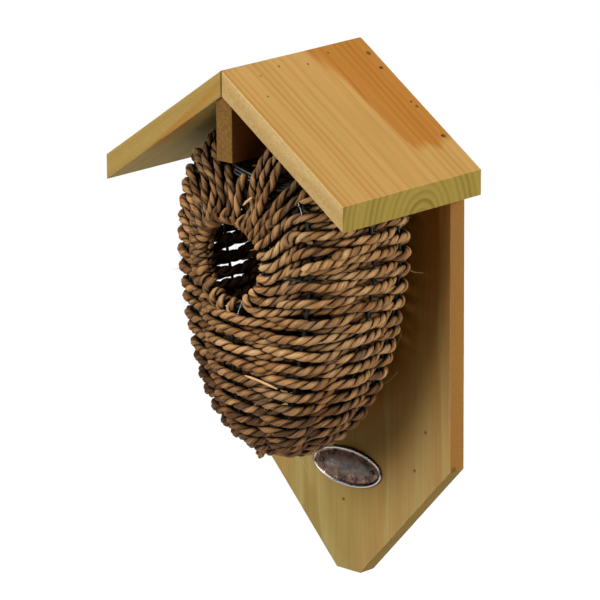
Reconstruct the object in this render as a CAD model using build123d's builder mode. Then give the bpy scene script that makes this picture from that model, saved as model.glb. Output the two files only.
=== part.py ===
# Nest house for small birds: two nailed pine roof boards and a ridge beam on a
# pointed backboard, with a rope pouch wound on a wire frame and an oval plate.
# Millimetres. The origin is the mouth of the hanging hole in the rear face of the
# backboard. X runs to the right, Y to the wall and Z up, so the front faces -Y.

import os
from bisect import bisect
from math import acos, cos, dist, pi, radians, sin, sqrt, tan

from build123d import *

# Boards
board_thickness = 12.0
roof_span = 182.6
roof_slope = 34.45
roof_depth = 115.0
ridge_height = 75.0  # ridge line above the hanging hole
back_width = 158.0
back_side_drop = 241.0  # ridge line to the lower side corners
back_tip_drop = 317.0  # ridge line to the blunt tip
back_tip_width = 18.6
beam_width = 12.0
beam_drop = 52.5  # ridge line to the underside of the beam
beam_setback = 2.0  # front of the beam behind the front of the roof
hanging_hole_diameter = 8.0
hanging_hole_depth = 8.0

# Pouch, measured outside the rope
rope_diameter = 6.4
rope_sides = 6
rope_gap = 0.75
pouch_width = 144.0
pouch_reach = 100.4  # front face of the backboard to the front of the pouch
pouch_back_gap = 0.3
pouch_girth_reach = 43.0  # front face of the backboard to the widest line
pouch_back_flat = 70.0
belly_drop = 108.0  # ridge line to the widest level
pouch_bottom_drop = 230.5
pouch_top_gap = 0.6  # under the beam
bottom_turn_radius = 11.0
entrance_diameter = 40.0
entrance_drop = 111.5  # ridge line to the middle of the entrance
upright_runs = 6  # upright rope runs above and below the entrance
sill_height = 20.0  # band of upright runs below the entrance
brow_half_depth = 36.0  # where the upright runs above the entrance turn back
crown_half_width = 44.0  # where the uppermost row lies
skin_power = 3.0  # fullness of the pouch seen from the side, where 2 is an ellipse
taper_power = 1.4  # how soon the pouch narrows below the widest level
shoulder_power = 3.2  # how blunt its lower end is, seen from the front

# Wire frame inside the rope
wire_diameter = 1.8
wire_sides = 6
wire_gap = 0.35
top_ring_half_depth = 26.0
bottom_ring_half_depth = 22.0

# Plate and fasteners
plate_width = 54.0
plate_height = 24.0
plate_thickness = 1.0
plate_rim_width = 2.0
plate_rim_height = 0.8
plate_drop = 253.5
pin_spacing = 39.0
pin_diameter = 1.6
pin_length = 9.0
pin_head_diameter = 3.2
pin_head_height = 0.8
brad_diameter = 1.6
brad_length = 30.0
rear_brads = 3
rear_brad_first = 20.4
rear_brad_spacing = 23.4
ridge_brads = 2
ridge_brad_first = 32.5
ridge_brad_spacing = 41.5
ridge_brad_offset = 3.6
beam_nail_diameter = 2.4
beam_nail_length = 38.0
beam_nail_spacing = 14.0
beam_nail_drop = 28.0
staple_diameter = 1.4
staple_bite = 9.0
staple_offset = 3.9  # beside the middle rib

# Levels and lines that follow from the sizes above
slope_rise = tan(radians(roof_slope))
plumb_thickness = board_thickness / cos(radians(roof_slope))
roof_half = roof_span / 2
back_half = back_width / 2
board_front = -board_thickness
beam_bottom = ridge_height - beam_drop
beam_front = -roof_depth + beam_setback
rope_radius = rope_diameter / 2
rope_pitch = rope_diameter + rope_gap
wire_radius = wire_diameter / 2
rib_inset = rope_radius + wire_gap + wire_radius
fore_inset = rib_inset + wire_gap  # of the ribs beside the entrance
ring_inset = fore_inset + wire_diameter
entrance_radius = entrance_diameter / 2
entrance_level = ridge_height - entrance_drop
girth_half = pouch_width / 2 - rope_radius
front_line = board_front - pouch_reach + rope_radius
rear_line = board_front - pouch_back_gap - rope_radius
pouch_axis = (front_line + rear_line) / 2
half_depth = (rear_line - front_line) / 2
girth_shift = board_front - pouch_girth_reach - pouch_axis
flat_share = pouch_back_flat / 2 / girth_half
belly_level = ridge_height - belly_drop
bottom_depth = pouch_bottom_drop - belly_drop - rope_radius
crown_depth = belly_drop - beam_drop - pouch_top_gap - rope_radius
upright_half = (upright_runs - 1) / 2 * rope_pitch
row_end = upright_half + rope_diameter + rope_gap + rope_pitch / 2
turn_reach = rope_pitch / 2 + rope_radius  # past the middle of a turn-back


# The skin that the middle of the rope lies on. The angle runs from 0 at the bottom
# of the pouch over 90 degrees at the widest level to 180 degrees under the beam.
def half_depth_at(angle):
    return half_depth * sin(angle) ** (2 / skin_power)


def level_at(angle):
    share = abs(cos(angle)) ** (2 / skin_power)
    return belly_level + share * (-bottom_depth if angle < pi / 2 else crown_depth)


def half_width_at(angle):
    if angle < pi / 2:
        drop = cos(angle) ** (2 / skin_power)
        return girth_half * (1 - drop**taper_power) ** (1 / shoulder_power)
    return girth_half * sin(angle) ** (2 / skin_power)


def angle_of_level(level):
    if level < belly_level:
        return acos(((belly_level - level) / bottom_depth) ** (skin_power / 2))
    return pi - acos(((level - belly_level) / crown_depth) ** (skin_power / 2))


def angle_of_half_depth(depth, upper):
    angle = acos(sqrt(1 - (depth / half_depth) ** skin_power))
    return pi - angle if upper else angle


# Half width, half depth, widest line and level of the section at an angle, moved
# inward from the skin by an inset.
def section_at(angle, inset=0.0):
    step = 0.002
    out = half_depth_at(angle + step) - half_depth_at(angle - step)
    up = level_at(angle + step) - level_at(angle - step)
    run = sqrt(out * out + up * up)
    across = inset * up / run
    along = inset * out / run
    depth = half_depth_at(angle) - across
    width = half_width_at(angle) - across
    return width, depth, pouch_axis + girth_shift * depth / half_depth, level_at(angle) + along


# Five stops round a section: front, right, rear right, rear left and left.
def stops_at(angle, inset=0.0):
    width, depth, widest, level = section_at(angle, inset)
    flat = flat_share * width
    return [
        Vector(0, pouch_axis - depth, level),
        Vector(width, widest, level),
        Vector(flat, pouch_axis + depth, level),
        Vector(-flat, pouch_axis + depth, level),
        Vector(-width, widest, level),
    ]


# A point on the front of the section at a distance to the side, and the way along
# the section there, to the right.
def front_point(angle, side, inset=0.0):
    width, depth, widest, level = section_at(angle, inset)
    fall = sqrt(1 - (side / width) ** 2)
    reach = widest - (pouch_axis - depth)
    return Vector(side, widest - reach * fall, level)


def front_way(angle, side, inset=0.0):
    step = 0.05
    near = front_point(angle, side - step, inset)
    return (front_point(angle, side + step, inset) - near).normalized()


def climb_way(angle, side, inset=0.0):
    step = 0.002
    low = front_point(angle - step, side, inset)
    return (front_point(angle + step, side, inset) - low).normalized()


# Two tangent arcs between two stops that each have a point and a way.
def meeting_point(start, start_way, end, end_way):
    chord = end - start
    both = start_way + end_way
    spread = 2 * (1 - start_way.dot(end_way))
    along = chord.dot(both)
    reach = (sqrt(along**2 + spread * chord.dot(chord)) - along) / spread
    middle = (start + end + (start_way - end_way) * reach) / 2
    return middle, (chord - both * reach).normalized()


def lay(stops):
    for (start, start_way), (end, end_way) in zip(stops, stops[1:]):
        chord = (end - start).normalized()
        if min(chord.dot(start_way), chord.dot(end_way)) > 0.9999999:
            Line(start, end)
        else:
            middle, middle_way = meeting_point(start, start_way, end, end_way)
            TangentArc(start, middle, tangent=start_way)
            TangentArc(middle, end, tangent=middle_way)


# Least gap of a tube to itself, on points along its middle line.
def least_gap(path, diameter):
    spacing = diameter / 4
    count = int(path.length / spacing)
    points = [tuple(path.position_at(i / count)) for i in range(count + 1)]
    apart = int(pi * diameter / spacing)
    nearest = min(dist(points[i], other) for i in range(count) for other in points[i + apart :])
    return nearest - diameter


# Turns of rope counted along the front of the skin, one pitch to a turn.
walk_step = 0.0001
walk_angles = [angle_of_half_depth(bottom_turn_radius, False)]
walk_turns = [0.0]
while walk_angles[-1] < pi / 2 or half_width_at(walk_angles[-1]) > crown_half_width:
    here, there = walk_angles[-1], walk_angles[-1] + walk_step
    run = dist((half_depth_at(here), level_at(here)), (half_depth_at(there), level_at(there)))
    walk_angles.append(there)
    walk_turns.append(walk_turns[-1] + run / rope_pitch)


def angle_at_turn(turn):
    above = min(bisect(walk_turns, turn), len(walk_turns) - 1)
    share = (turn - walk_turns[above - 1]) / (walk_turns[above] - walk_turns[above - 1])
    return walk_angles[above - 1] + share * walk_step


row_angles = [angle_at_turn(row) for row in range(int(walk_turns[-1]) + 1)]
sill_level = entrance_level - entrance_radius - sill_height
body_rows = sum(1 for angle in row_angles if level_at(angle) < sill_level - rope_pitch / 2)

# Body of the pouch: one rope from the middle of the bottom up to the sill.
station_turns = [0.0, 0.26, 0.43, 0.57, 0.74]
station_ways = [Vector(1, 0, 0), Vector(0, 1, 0), Vector(-1, 0, 0), Vector(-1, 0, 0), Vector(0, -1, 0)]
body_turns = body_rows - 1


def body_stop(row, station):
    here = stops_at(angle_at_turn(row + station_turns[station]))[station]
    if station in (2, 3):
        left = stops_at(angle_at_turn(row + station_turns[3]))[3]
        right = stops_at(angle_at_turn(row + station_turns[2]))[2]
        return here, (left - right).normalized()
    above = stops_at(angle_at_turn(row + 1 + station_turns[station]))[station]
    width, depth, widest, level = section_at(angle_at_turn(row + station_turns[station]))
    drift = (above - here) / (pi * (width + depth))
    return here, (station_ways[station] + drift).normalized()


bottom_level = level_at(row_angles[0])
tail_side = -bottom_turn_radius / 2
tail_way = Vector(0, -1, 0)
tail_start = Vector(tail_side, pouch_axis + rope_diameter, bottom_level)
body_stops = [(tail_start, tail_way), (tail_start + tail_way * rope_diameter, tail_way)]
body_stops += [body_stop(0, station) for station in range(1, 5)]
for row in range(1, body_turns):
    body_stops += [body_stop(row, station) for station in range(5)]
body_stops += [body_stop(body_turns, station) for station in range(3)]
rear_stop, rear_way = body_stops[-1]
splice = rear_stop + rear_way * (rear_stop.X / -rear_way.X)
body_stops.append((splice - rear_way * (rope_gap / 2), rear_way))

with BuildPart() as body_rope:
    with BuildLine() as body_line:
        lay(body_stops)
    with BuildSketch(Plane(origin=body_stops[0][0], z_dir=body_stops[0][1])):
        RegularPolygon(rope_radius, rope_sides)
    sweep(path=body_line.wire(), clean=False)


# Sides of the pouch: one rope that goes on from there round the back in open rows,
# and turns back beside the entrance.
def row_stops(row, to_left):
    right_angle, left_angle = angle_at_turn(row + end_turn), angle_at_turn(row + 1 - end_turn)
    stops = [(front_point(right_angle, row_end), front_way(right_angle, row_end))]
    stops += [body_stop(row, station) for station in range(1, 5)]
    stops.append((front_point(left_angle, -row_end), front_way(left_angle, -row_end)))
    return stops if to_left else [(point, way * -1) for point, way in reversed(stops)]


end_turn = 0.1
last_row = len(row_angles) - 2
side_stops = [(splice + rear_way * (rope_gap / 2), rear_way)] + row_stops(body_turns, True)[3:]
for row in range(body_rows, last_row):
    side_stops += row_stops(row, (row - body_rows) % 2 == 1)
end_stop, end_way = side_stops[-4]
side_stops[-3:] = [(end_stop + end_way * abs(end_stop.X / end_way.X), end_way)]

with BuildPart() as side_rope:
    with BuildLine() as side_line:
        lay(side_stops)
    with BuildSketch(Plane(origin=side_stops[0][0], z_dir=side_stops[0][1])):
        RegularPolygon(rope_radius, rope_sides)
    sweep(path=side_line.wire(), clean=False)


# Upright runs above and below the entrance, each one rope that goes up and down.
run_sides = [(i - (upright_runs - 1) / 2) * rope_pitch for i in range(upright_runs)]


def upright_stops(low_levels, high_levels):
    stops = []
    for i, side in enumerate(run_sides):
        angles = angle_of_level(low_levels[i]), angle_of_level(high_levels[i])
        run = [(front_point(angle, side), climb_way(angle, side)) for angle in angles]
        stops += run if i % 2 == 0 else [(point, way * -1) for point, way in reversed(run)]
    return stops


# Height of the rim of the entrance where each run turns back, two runs to a turn, and
# where a run without a turn ends.
def rim_heights(first):
    sides = list(run_sides)
    reaches = [0.0] * upright_runs
    for i in range(first, upright_runs - 1, 2):
        sides[i] = sides[i + 1] = (run_sides[i] + run_sides[i + 1]) / 2
        reaches[i] = reaches[i + 1] = turn_reach
    return [sqrt(entrance_radius**2 - side**2) + reach for side, reach in zip(sides, reaches)]


brow_low = [entrance_level + height for height in rim_heights(1)]
brow_high = [level_at(angle_of_half_depth(brow_half_depth, True))] * upright_runs
brow_stops = upright_stops(brow_low, brow_high)

with BuildPart() as brow_rope:
    with BuildLine() as brow_line:
        lay(brow_stops)
    with BuildSketch(Plane(origin=brow_stops[0][0], z_dir=brow_stops[0][1])):
        RegularPolygon(rope_radius, rope_sides)
    sweep(path=brow_line.wire(), clean=False)

sill_low = [level_at(row_angles[body_turns]) + rope_pitch * 1.5] * upright_runs
sill_high = [entrance_level - height for height in rim_heights(0)]
sill_stops = upright_stops(sill_low, sill_high)

with BuildPart() as sill_rope:
    with BuildLine() as sill_line:
        lay(sill_stops)
    with BuildSketch(Plane(origin=sill_stops[0][0], z_dir=sill_stops[0][1])):
        RegularPolygon(rope_radius, rope_sides)
    sweep(path=sill_line.wire(), clean=False)


# Ten ribs stand inside the rope, one at each stop and at each meeting of two arcs.
def rib_points(angle):
    front, right, rear_right, rear_left, left = stops_at(angle, rib_inset)
    ahead, aside = Vector(1, 0, 0), Vector(0, 1, 0)
    edges = stops_at(angle, fore_inset)
    side = right.X * row_end / girth_half
    fore_right = front_point(angle, side, fore_inset), front_way(angle, side, fore_inset)
    fore_left = front_point(angle, -side, fore_inset), front_way(angle, -side, fore_inset)
    return {
        "rib_front": front,
        "rib_front_right": meeting_point(*fore_right, edges[1], aside)[0],
        "rib_right": right,
        "rib_rear_right": meeting_point(right, aside, rear_right, ahead * -1)[0],
        "rib_back_right": rear_right,
        "rib_back": (rear_right + rear_left) / 2,
        "rib_back_left": rear_left,
        "rib_rear_left": meeting_point(rear_left, ahead * -1, left, aside * -1)[0],
        "rib_left": left,
        "rib_front_left": meeting_point(edges[4], aside * -1, *fore_left)[0],
    }


def rib_stops(name, low_angle, high_angle):
    stops = []
    step = 0.002
    for i in range(rib_spans + 1):
        angle = low_angle + (high_angle - low_angle) * i / rib_spans
        way = rib_points(angle + step)[name] - rib_points(angle - step)[name]
        stops.append((rib_points(angle)[name], way.normalized()))
    return stops


rib_spans = 8
rib_low = angle_of_half_depth(bottom_ring_half_depth - wire_diameter, False)
rib_high = angle_of_half_depth(top_ring_half_depth - wire_diameter, True)
entrance_ring_radius = entrance_radius + rope_radius
rim_low = angle_of_level(entrance_level - entrance_ring_radius + wire_diameter)
rim_high = angle_of_level(entrance_level + entrance_ring_radius - wire_diameter)
rib_lines = {name: rib_stops(name, rib_low, rib_high) for name in rib_points(rib_low)}
del rib_lines["rib_front"]
rib_lines["rib_front_low"] = rib_stops("rib_front", rib_low, rim_low)
rib_lines["rib_front_high"] = rib_stops("rib_front", rim_high, rib_high)


# Rings that the ribs are tied to, inside the ribs.
def ring_stops(angle):
    points = stops_at(angle, ring_inset)
    stops = list(zip(points, station_ways))
    return stops + stops[:1]


def rim_point(turn):
    level = entrance_level + entrance_ring_radius * sin(turn)
    return front_point(angle_of_level(level), entrance_ring_radius * cos(turn), ring_inset)


rim_turns = [2 * pi * i / 8 for i in range(9)]
rim_stops = [(rim_point(t), (rim_point(t + 0.01) - rim_point(t - 0.01)).normalized()) for t in rim_turns]
top_ring_angle = angle_of_half_depth(top_ring_half_depth, True)
wire_lines = dict(rib_lines)
wire_lines["top_ring"] = ring_stops(top_ring_angle)
wire_lines["bottom_ring"] = ring_stops(angle_of_half_depth(bottom_ring_half_depth, False))
wire_lines["entrance_ring"] = rim_stops

wires = {}
for name, stops in wire_lines.items():
    with BuildPart() as wire:
        with BuildLine() as wire_line:
            lay(stops)
        with BuildSketch(Plane(origin=stops[0][0], z_dir=stops[0][1])):
            RegularPolygon(wire_radius, wire_sides)
        sweep(path=wire_line.wire(), clean=False)
    wires[name] = wire

# Boards. The roof boards meet in a plumb mitre at the ridge.
with BuildPart() as backboard:
    with BuildSketch(Plane.XZ) as back_outline:
        with BuildLine():
            apex = ridge_height - plumb_thickness
            Polyline(
                (0, apex),
                (back_half, apex - back_half * slope_rise),
                (back_half, ridge_height - back_side_drop),
                (back_tip_width / 2, ridge_height - back_tip_drop),
                (-back_tip_width / 2, ridge_height - back_tip_drop),
                (-back_half, ridge_height - back_side_drop),
                (-back_half, apex - back_half * slope_rise),
                close=True,
            )
        make_face()
    extrude(amount=board_thickness)
    with BuildSketch(Plane.XZ) as hanging_hole:
        Circle(hanging_hole_diameter / 2)
    extrude(amount=hanging_hole_depth, mode=Mode.SUBTRACT)

with BuildPart() as roof_board_right:
    with BuildSketch(Plane.XZ) as right_section:
        with BuildLine():
            Polyline(
                (0, ridge_height),
                (roof_half, ridge_height - roof_half * slope_rise),
                (roof_half, ridge_height - roof_half * slope_rise - plumb_thickness),
                (0, ridge_height - plumb_thickness),
                close=True,
            )
        make_face()
    extrude(amount=roof_depth)

with BuildPart() as roof_board_left:
    with BuildSketch(Plane.XZ) as left_section:
        with BuildLine():
            Polyline(
                (0, ridge_height),
                (0, ridge_height - plumb_thickness),
                (-roof_half, ridge_height - roof_half * slope_rise - plumb_thickness),
                (-roof_half, ridge_height - roof_half * slope_rise),
                close=True,
            )
        make_face()
    extrude(amount=roof_depth)

with BuildPart() as ridge_beam:
    with BuildSketch(Plane.XZ.offset(board_thickness)) as beam_section:
        with BuildLine():
            beam_half = beam_width / 2
            Polyline(
                (0, ridge_height - plumb_thickness),
                (beam_half, ridge_height - plumb_thickness - beam_half * slope_rise),
                (beam_half, beam_bottom),
                (-beam_half, beam_bottom),
                (-beam_half, ridge_height - plumb_thickness - beam_half * slope_rise),
                close=True,
            )
        make_face()
    extrude(amount=board_front - beam_front)

# Brads: a rear row through each roof board into the backboard, square to the roof,
# and a ridge row straight down into the beam.
slope = radians(roof_slope)
ridge_rear = (0, -board_thickness / 2, ridge_height)
right_plane = Plane(ridge_rear, (cos(slope), 0, -sin(slope)), (sin(slope), 0, cos(slope)))
left_plane = Plane(ridge_rear, (cos(slope), 0, sin(slope)), (-sin(slope), 0, cos(slope)))
rear_places = [((rear_brad_first + i * rear_brad_spacing) / cos(slope), 0) for i in range(rear_brads)]
ridge_places = [(ridge_brad_offset, -ridge_brad_first - i * ridge_brad_spacing) for i in range(ridge_brads)]
ridge_plane = Plane.XY.offset(ridge_height - (ridge_brad_offset + brad_diameter / 2) * slope_rise)

with BuildPart() as rear_brads_right:
    with BuildSketch(right_plane):
        with Locations(*rear_places):
            Circle(brad_diameter / 2)
    extrude(amount=-brad_length)

with BuildPart() as rear_brads_left:
    with BuildSketch(left_plane):
        with Locations(*[(-along, across) for along, across in rear_places]):
            Circle(brad_diameter / 2)
    extrude(amount=-brad_length)

with BuildPart() as ridge_brads_right:
    with BuildSketch(ridge_plane):
        with Locations(*ridge_places):
            Circle(brad_diameter / 2)
    extrude(amount=-brad_length)

with BuildPart() as ridge_brads_left:
    with BuildSketch(ridge_plane):
        with Locations(*[(-side, back) for side, back in ridge_places]):
            Circle(brad_diameter / 2)
    extrude(amount=-brad_length)

# Nails through the backboard into the end of the beam.
nail_levels = [ridge_height - beam_nail_drop - i * beam_nail_spacing for i in range(2)]
with BuildPart() as beam_nails:
    with BuildSketch(Plane.XZ):
        with Locations(*[(0, level) for level in nail_levels]):
            Circle(beam_nail_diameter / 2)
    extrude(amount=beam_nail_length)

# Staples that hang the top ring under the beam.
staple_reach = wire_radius + wire_gap + staple_diameter / 2
ring_front = front_point(top_ring_angle, staple_offset, ring_inset)
ring_rear = stops_at(top_ring_angle, ring_inset)[2]
with BuildPart() as beam_staples:
    for seat in (ring_front.Y, ring_rear.Y):
        down, up = Vector(0, 0, -1), Vector(0, 0, 1)
        near = Vector(staple_offset, seat - staple_reach, ring_rear.Z)
        far = Vector(staple_offset, seat + staple_reach, ring_rear.Z)
        rise = up * (beam_bottom + staple_bite - ring_rear.Z)
        with BuildLine() as staple_line:
            lay([(near + rise, down), (near, down), (far, up), (far + rise, up)])
        with BuildSketch(Plane(origin=near + rise, z_dir=down)):
            Circle(staple_diameter / 2)
        sweep(path=staple_line.wire(), clean=False)

# Oval plate with a raised rim, pinned to the backboard.
plate_plane = Plane.XZ.offset(board_thickness)
pin_places = [(side * pin_spacing / 2, ridge_height - plate_drop) for side in (-1, 1)]
with BuildPart() as name_plate:
    with BuildSketch(plate_plane):
        with Locations((0, ridge_height - plate_drop)):
            Ellipse(plate_width / 2, plate_height / 2)
    extrude(amount=plate_thickness)
    with BuildSketch(plate_plane.offset(plate_thickness)):
        with Locations((0, ridge_height - plate_drop)):
            Ellipse(plate_width / 2, plate_height / 2)
            Ellipse(plate_width / 2 - plate_rim_width, plate_height / 2 - plate_rim_width, mode=Mode.SUBTRACT)
    extrude(amount=plate_rim_height)
    fillet(name_plate.faces().sort_by(Axis.Y)[0].edges(), plate_rim_height / 4)
    with BuildSketch(plate_plane):
        with Locations(*pin_places):
            Circle(pin_diameter / 2)
    extrude(amount=plate_thickness, mode=Mode.SUBTRACT)

with BuildPart() as plate_pins:
    with BuildSketch(plate_plane.offset(plate_thickness)):
        with Locations(*pin_places):
            Circle(pin_diameter / 2)
    extrude(amount=-pin_length)
    with BuildSketch(plate_plane.offset(plate_thickness)):
        with Locations(*pin_places):
            Circle(pin_head_diameter / 2)
    extrude(amount=pin_head_height)
    fillet(plate_pins.faces().sort_by(Axis.Y)[:2].edges(), pin_head_height / 2)

# Holes that the fasteners stand in.
for board, fasteners in (
    (roof_board_right, (rear_brads_right, ridge_brads_right)),
    (roof_board_left, (rear_brads_left, ridge_brads_left)),
    (ridge_beam, (ridge_brads_right, ridge_brads_left, beam_nails, beam_staples)),
    (backboard, (rear_brads_right, rear_brads_left, beam_nails, plate_pins)),
):
    with board:
        for fastener in fasteners:
            add(fastener.part, mode=Mode.SUBTRACT)

for name, line, rope in (
    ("body_rope", body_line, body_rope),
    ("side_rope", side_line, side_rope),
    ("brow_rope", brow_line, brow_rope),
    ("sill_rope", sill_line, sill_rope),
):
    path = line.wire()
    area = rope_sides * rope_radius**2 * sin(2 * pi / rope_sides) / 2
    print(f"{name}: length {path.length:.0f}, volume share {rope.part.volume / area / path.length:.3f}")
    print(f"{name}: least gap to itself {least_gap(path, rope_diameter):.2f}")

pieces = {
    "backboard": backboard,
    "roof_board_right": roof_board_right,
    "roof_board_left": roof_board_left,
    "ridge_beam": ridge_beam,
    "body_rope": body_rope,
    "side_rope": side_rope,
    "brow_rope": brow_rope,
    "sill_rope": sill_rope,
    "rear_brads_right": rear_brads_right,
    "rear_brads_left": rear_brads_left,
    "ridge_brads_right": ridge_brads_right,
    "ridge_brads_left": ridge_brads_left,
    "beam_nails": beam_nails,
    "beam_staples": beam_staples,
    "name_plate": name_plate,
    "plate_pins": plate_pins,
}
pieces.update(wires)

os.makedirs("parts", exist_ok=True)
for name, piece in pieces.items():
    piece.part.label = name
    export_step(piece.part, f"parts/{name}.step")
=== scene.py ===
import math
from functools import partial

import bpy
import numpy as np
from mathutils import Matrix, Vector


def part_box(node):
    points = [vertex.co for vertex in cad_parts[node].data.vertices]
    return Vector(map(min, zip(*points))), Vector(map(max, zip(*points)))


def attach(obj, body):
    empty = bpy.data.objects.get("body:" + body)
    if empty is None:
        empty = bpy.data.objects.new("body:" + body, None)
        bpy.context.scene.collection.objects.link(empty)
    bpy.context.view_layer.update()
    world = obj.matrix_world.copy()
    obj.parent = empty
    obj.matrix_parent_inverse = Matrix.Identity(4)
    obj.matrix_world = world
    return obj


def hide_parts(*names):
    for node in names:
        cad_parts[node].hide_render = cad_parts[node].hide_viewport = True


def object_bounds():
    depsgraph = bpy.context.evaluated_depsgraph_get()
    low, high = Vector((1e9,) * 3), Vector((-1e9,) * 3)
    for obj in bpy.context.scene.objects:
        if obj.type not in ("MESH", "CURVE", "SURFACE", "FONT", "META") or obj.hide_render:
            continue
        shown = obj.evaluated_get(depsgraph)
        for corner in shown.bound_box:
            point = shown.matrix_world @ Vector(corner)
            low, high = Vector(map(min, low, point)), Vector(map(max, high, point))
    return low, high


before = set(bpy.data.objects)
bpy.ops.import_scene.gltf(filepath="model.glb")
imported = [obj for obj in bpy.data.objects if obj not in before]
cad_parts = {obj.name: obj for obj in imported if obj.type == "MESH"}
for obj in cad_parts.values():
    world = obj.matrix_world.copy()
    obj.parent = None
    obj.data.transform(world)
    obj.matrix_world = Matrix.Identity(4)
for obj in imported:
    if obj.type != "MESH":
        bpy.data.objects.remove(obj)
cadLow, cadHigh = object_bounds()
mm = 0.001
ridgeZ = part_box("roof_board_right")[1].z / mm  # ridge line, mm in the frame
print("frame loaded, ridge at", round(ridgeZ, 1), "mm")


# Small tools

def linear(code):
    # sRGB hex to linear colour
    parts = [int(code[i:i + 2], 16) / 255 for i in (1, 3, 5)]
    return tuple(c / 12.92 if c <= 0.04045 else ((c + 0.055) / 1.055) ** 2.4 for c in parts) + (1.0,)


def addNode(tree, kind, *inputs, stops=(), **settings):
    # One node, with its operation or data type after a dot. The inputs fill its open sockets in order, and a
    # setting is a property or an input by name. An input gets a value, a hex colour, or the socket or node
    # that feeds it, where a node stands for its first open output. Stops make a colour ramp.
    kind, _, mode = kind.partition(".")
    node = tree.nodes.new("ShaderNode" + kind)
    if mode:
        setattr(node, "data_type" if kind == "Mix" else "operation", mode)
    for key in [key for key in settings if hasattr(node, key)]:
        setattr(node, key, settings.pop(key))
    feeds = list(zip([socket for socket in node.inputs if socket.enabled], inputs))
    for socket, value in feeds + [(node.inputs[key], value) for key, value in settings.items()]:
        if isinstance(value, bpy.types.Node):
            value = next(output for output in value.outputs if output.enabled)
        if isinstance(value, bpy.types.NodeSocket):
            tree.links.new(value, socket)
        else:
            socket.default_value = linear(value) if isinstance(value, str) else value
    if stops:
        ramp = node.color_ramp.elements
        while len(ramp) < len(stops):
            ramp.new(1.0)
        for stop, (place, tone) in zip(ramp, stops):
            stop.position = place
            stop.color = linear(tone) if isinstance(tone, str) else (tone, tone, tone, 1)
    return node


def stretchedNoise(add, place, cells, detail, roughness=0.5):
    # noise with its own count of cells to a metre (or to a unit of the UV map) along each axis
    scaled = add("VectorMath.MULTIPLY", place, cells)
    return add("TexNoise", scaled, 1.0, detail, roughness)


def newMaterial(name):
    # a material with an empty node tree, and the function that adds a node to it
    material = bpy.data.materials.new(name)
    material.use_nodes = True
    material.node_tree.nodes.clear()
    return material, partial(addNode, material.node_tree)


def finishMaterial(add, settings):
    # the shader, fed by these settings, and the output
    add("OutputMaterial", add("BsdfPrincipled", **settings))


def gridFaces(rows, columns):
    # quads of a grid whose columns close round, rows first
    row = np.arange(rows - 1)[:, None] * columns
    here = np.arange(columns)[None, :]
    there = (here + 1) % columns
    corners = [row + here, row + there, row + there + columns, row + here + columns]
    return np.stack(corners, -1).reshape(-1, 4)


def closedGrid(rows, columns):
    # the same quads, with the first and last ring as end faces
    last = (rows - 1) * columns
    ends = [list(range(columns))[::-1], list(range(last, last + columns))]
    return gridFaces(rows, columns).tolist() + ends


def addObject(name, data):
    # an object of the scene, at the origin
    item = bpy.data.objects.new(name, data)
    bpy.context.scene.collection.objects.link(item)
    return item


def putMesh(name, points, faces, material, slot, nodes=(), smooth=True, uv=None, tint=None):
    # points in mm, faces as rows of indices, uv as one pair per face corner, tint as one value per point
    mesh = bpy.data.meshes.new(name)
    mesh.from_pydata((np.asarray(points) * mm).tolist(), [], [list(face) for face in faces])
    if uv is not None:
        mesh.uv_layers.new(name="UVMap").data.foreach_set("uv", np.asarray(uv, np.float32).ravel())
    if tint is not None:
        tints = mesh.attributes.new("tint", "FLOAT", "POINT")
        tints.data.foreach_set("value", np.asarray(tint, np.float32))
    mesh.polygons.foreach_set("use_smooth", np.full(len(mesh.polygons), smooth))
    mesh.update()
    mesh.materials.append(material)
    piece = addObject(name, mesh)
    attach(piece, "root")
    if nodes:
        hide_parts(*nodes)


def unit(v):
    # each vector over its own length
    return v / np.linalg.norm(v, axis=-1, keepdims=True)


def fading(value, start, reach):
    # 0 up to the start, 1 from a reach beyond it
    return np.clip((value - start) / reach, 0, 1)


# Pine boards

pine = {
    "slope": 34.45,         # degrees, roof
    "edge": 0.55,           # mm, eased edge of every board
    "edgeWobble": 0.10,     # mm, unevenness of that edge
    "edgeStep": 5.0,        # mm between points along an edge
    "gap": 0.35,            # mm, open joint at the ends of the ridge, each side
    "touch": 0.5,           # mm, points this near the middle line meet on it half way through
    "sapwood": "#CC9F5C",
    "latewood": "#B4762F",
    "green": "#A08C46",     # cast of the treatment
    "nailRust": "#4A3A24",
    "paintedShadeTint": "#E1B670",  # painted shade: a deeper orange multiplied in where other parts are near
    "bend": 1.6,            # rings, how far the figure wanders
    "bendCells": (6, 30, 30),       # noise cells to a metre, along the grain and across it
    "castCells": (9, 60, 60),
    "fibreCells": (25, 1800, 1800),  # fibres 0.5 mm wide, as fine as the picture shows
    "profile": [(0.0, 0.3), (0.3, 0.0), (0.68, 0.7), (0.86, 1.0), (1.0, 0.3)],  # late wood across one ring
    "ringStart": [(0.0, 0.8), (0.08, 0.45), (0.16, 0.0), (0.95, 0.0), (1.0, 0.8)],  # pale line of one ring
}


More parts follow.
